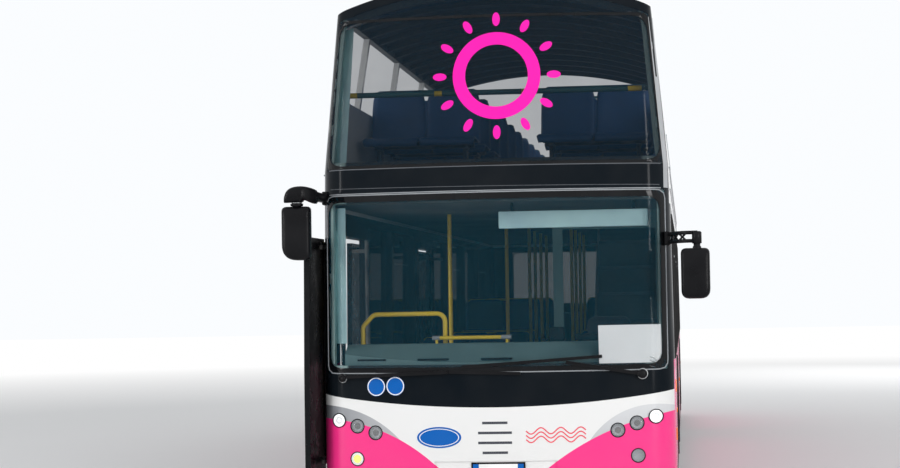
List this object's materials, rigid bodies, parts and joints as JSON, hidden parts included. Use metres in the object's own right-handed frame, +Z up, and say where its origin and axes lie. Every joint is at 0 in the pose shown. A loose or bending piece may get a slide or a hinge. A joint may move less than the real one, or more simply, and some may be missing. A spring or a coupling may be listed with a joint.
{
  "type": "open top double decker bus",
  "caption": "Two-axle open-top double-deck sightseeing bus with a part canopy, steered front wheels, gliding twin-leaf doors and a lifting engine door.",
  "frame": {"origin": "on the ground under the middle of the bus", "axes": "-Y is forwards, +X is the driver's side, +Z is up"},
  "size_m": [3.023, 11.478, 3.9049],
  "materials": {
    "black_plastic": "black textured plastic",
    "dark_frame": "satin dark grey frame paint",
    "dark_panel": "gloss black moulded panels",
    "dark_rail": "dark teal powder coat",
    "dash": "light teal-grey textured moulding",
    "door_dark": "black door frame paint",
    "driver_seat": "dark woven seat cloth",
    "engine": "dirty cast iron",
    "floor": "grey speckled vinyl floor",
    "glass": "blue-green tinted laminated glass",
    "lamp": "clear lamp glass over a bright reflector",
    "pink_paint": "gloss bright pink body paint",
    "rear_lamp": "red lamp lenses",
    "rim": "silver wheel paint",
    "roof_white": "white glass-fibre skin",
    "rubber": "black rubber bellows",
    "seat": "blue moulded seat shells",
    "side_glass": "dark tinted glass",
    "steel": "black chassis paint",
    "tyre": "black rubber, worn",
    "white_paint": "gloss white body paint, light dust",
    "yellow_rail": "yellow powder coat"
  },
  "bodies": {
    "bus": {"air_springs": "rubber", "cab_partition": "dash", "canopy": "roof_white", "canopy_posts": "white_paint", "chassis_frame": "steel", "dashboard": "dash", "driver_seat": "driver_seat", "engine_block": "engine", "front_axle": "steel", "front_frame": "dark_frame", "front_lamps": "lamp", "front_mask": "pink_paint", "front_panels": "dark_panel", "lower_floor": "floor", "lower_handrails": "yellow_rail", "lower_seats": "seat", "mirrors": "black_plastic", "parapet_left": "white_paint", "parapet_rear": "white_paint", "parapet_right": "white_paint", "rear_axle": "steel", "rear_lamps": "rear_lamp", "rear_platform": "floor", "rear_wall": "pink_paint", "roof_cap": "roof_white", "side_left": "pink_paint", "side_right": "pink_paint", "stairs": "floor", "steering_wheel": "black_plastic", "upper_floor": "floor", "upper_handrails": "dark_rail", "upper_seats": "seat", "wheelhouses": "floor", "window_glass": "side_glass", "windscreen_lower": "glass", "windscreen_upper": "glass", "wipers": "black_plastic"},
    "left_knuckle": {"knuckle_left": "steel"},
    "right_knuckle": {"knuckle_right": "steel"},
    "steering_link": {"tie_rod": "steel"},
    "rear_lid": {"engine_door": "pink_paint"},
    "front_wheel_left": {"tyre_front_left": "tyre", "rim_front_left": "rim"},
    "rear_wheels_left": {"tyres_rear_left": "tyre", "rims_rear_left": "rim"},
    "front_wheel_right": {"tyre_front_right": "tyre", "rim_front_right": "rim"},
    "rear_wheels_right": {"tyres_rear_right": "tyre", "rims_rear_right": "rim"},
    "door_1_arm": {"door_arm_1": "steel"},
    "door_1_leaf": {"door_leaf_1": "door_dark"},
    "door_2_arm": {"door_arm_2": "steel"},
    "door_2_leaf": {"door_leaf_2": "door_dark"},
    "door_3_arm": {"door_arm_3": "steel"},
    "door_3_leaf": {"door_leaf_3": "door_dark"},
    "door_4_arm": {"door_arm_4": "steel"},
    "door_4_leaf": {"door_leaf_4": "door_dark"}
  },
  "joints": [
    {"name": "steer_left", "type": "hinge", "parent": "bus", "child": "left_knuckle", "pos_m": [0.9, -2.81, 0.49], "axis": [0, 0, 1], "range_deg": [-40, 40]},
    {"name": "steer_right", "type": "hinge", "parent": "bus", "child": "right_knuckle", "pos_m": [-0.9, -2.81, 0.49], "axis": [0, 0, 1], "range_deg": [-40, 40]},
    {"name": "tie_rod_pivot", "type": "hinge", "parent": "left_knuckle", "child": "steering_link", "pos_m": [0.9, -2.63, 0.252], "axis": [0, 0, 1], "range_deg": [-40, 40]},
    {"name": "spin_front_left", "type": "hinge", "parent": "left_knuckle", "child": "front_wheel_left", "pos_m": [1.1, -2.81, 0.49], "axis": [1, 0, 0], "continuous": true},
    {"name": "spin_front_right", "type": "hinge", "parent": "right_knuckle", "child": "front_wheel_right", "pos_m": [-1.1, -2.81, 0.49], "axis": [1, 0, 0], "continuous": true},
    {"name": "spin_rear_left", "type": "hinge", "parent": "bus", "child": "rear_wheels_left", "pos_m": [1.1, 2.54, 0.49], "axis": [1, 0, 0], "continuous": true},
    {"name": "spin_rear_right", "type": "hinge", "parent": "bus", "child": "rear_wheels_right", "pos_m": [-1.1, 2.54, 0.49], "axis": [1, 0, 0], "continuous": true},
    {"name": "door_1_arm_turn", "type": "hinge", "parent": "bus", "child": "door_1_arm", "pos_m": [-1.197, -4.93, 1.2], "axis": [0, 0, 1], "range_deg": [-158, 0]},
    {"name": "door_1_leaf_turn", "type": "hinge", "parent": "door_1_arm", "child": "door_1_leaf", "pos_m": [-1.30189, -5.18961, 1.2], "axis": [0, 0, 1], "range_deg": [0, 158]},
    {"name": "door_2_arm_turn", "type": "hinge", "parent": "bus", "child": "door_2_arm", "pos_m": [-1.197, -3.89, 1.2], "axis": [0, 0, 1], "range_deg": [0, 158]},
    {"name": "door_2_leaf_turn", "type": "hinge", "parent": "door_2_arm", "child": "door_2_leaf", "pos_m": [-1.30189, -3.63039, 1.2], "axis": [0, 0, 1], "range_deg": [-158, 0]},
    {"name": "door_3_arm_turn", "type": "hinge", "parent": "bus", "child": "door_3_arm", "pos_m": [-1.197, -1.23, 1.2], "axis": [0, 0, 1], "range_deg": [0, 158]},
    {"name": "door_3_leaf_turn", "type": "hinge", "parent": "door_3_arm", "child": "door_3_leaf", "pos_m": [-1.197, -0.95, 1.2], "axis": [0, 0, 1], "range_deg": [-158, 0]},
    {"name": "door_4_arm_turn", "type": "hinge", "parent": "bus", "child": "door_4_arm", "pos_m": [-1.197, -0.19, 1.2], "axis": [0, 0, 1], "range_deg": [-158, 0]},
    {"name": "door_4_leaf_turn", "type": "hinge", "parent": "door_4_arm", "child": "door_4_leaf", "pos_m": [-1.197, -0.47, 1.2], "axis": [0, 0, 1], "range_deg": [0, 158]},
    {"name": "rear_lid_lift", "type": "hinge", "parent": "bus", "child": "rear_lid", "pos_m": [0, 5.754, 1.344], "axis": [1, 0, 0], "range_deg": [0, 78]}
  ],
  "couplings": [
    {"joint": "steer_right", "follows": "steer_left", "ratio": 1},
    {"joint": "tie_rod_pivot", "follows": "steer_left", "ratio": -1},
    {"joint": "door_1_leaf_turn", "follows": "door_1_arm_turn", "ratio": -1},
    {"joint": "door_2_arm_turn", "follows": "door_1_arm_turn", "ratio": -1},
    {"joint": "door_2_leaf_turn", "follows": "door_1_arm_turn", "ratio": 1},
    {"joint": "door_3_leaf_turn", "follows": "door_3_arm_turn", "ratio": -1},
    {"joint": "door_4_arm_turn", "follows": "door_3_arm_turn", "ratio": -1},
    {"joint": "door_4_leaf_turn", "follows": "door_3_arm_turn", "ratio": 1}
  ]
}
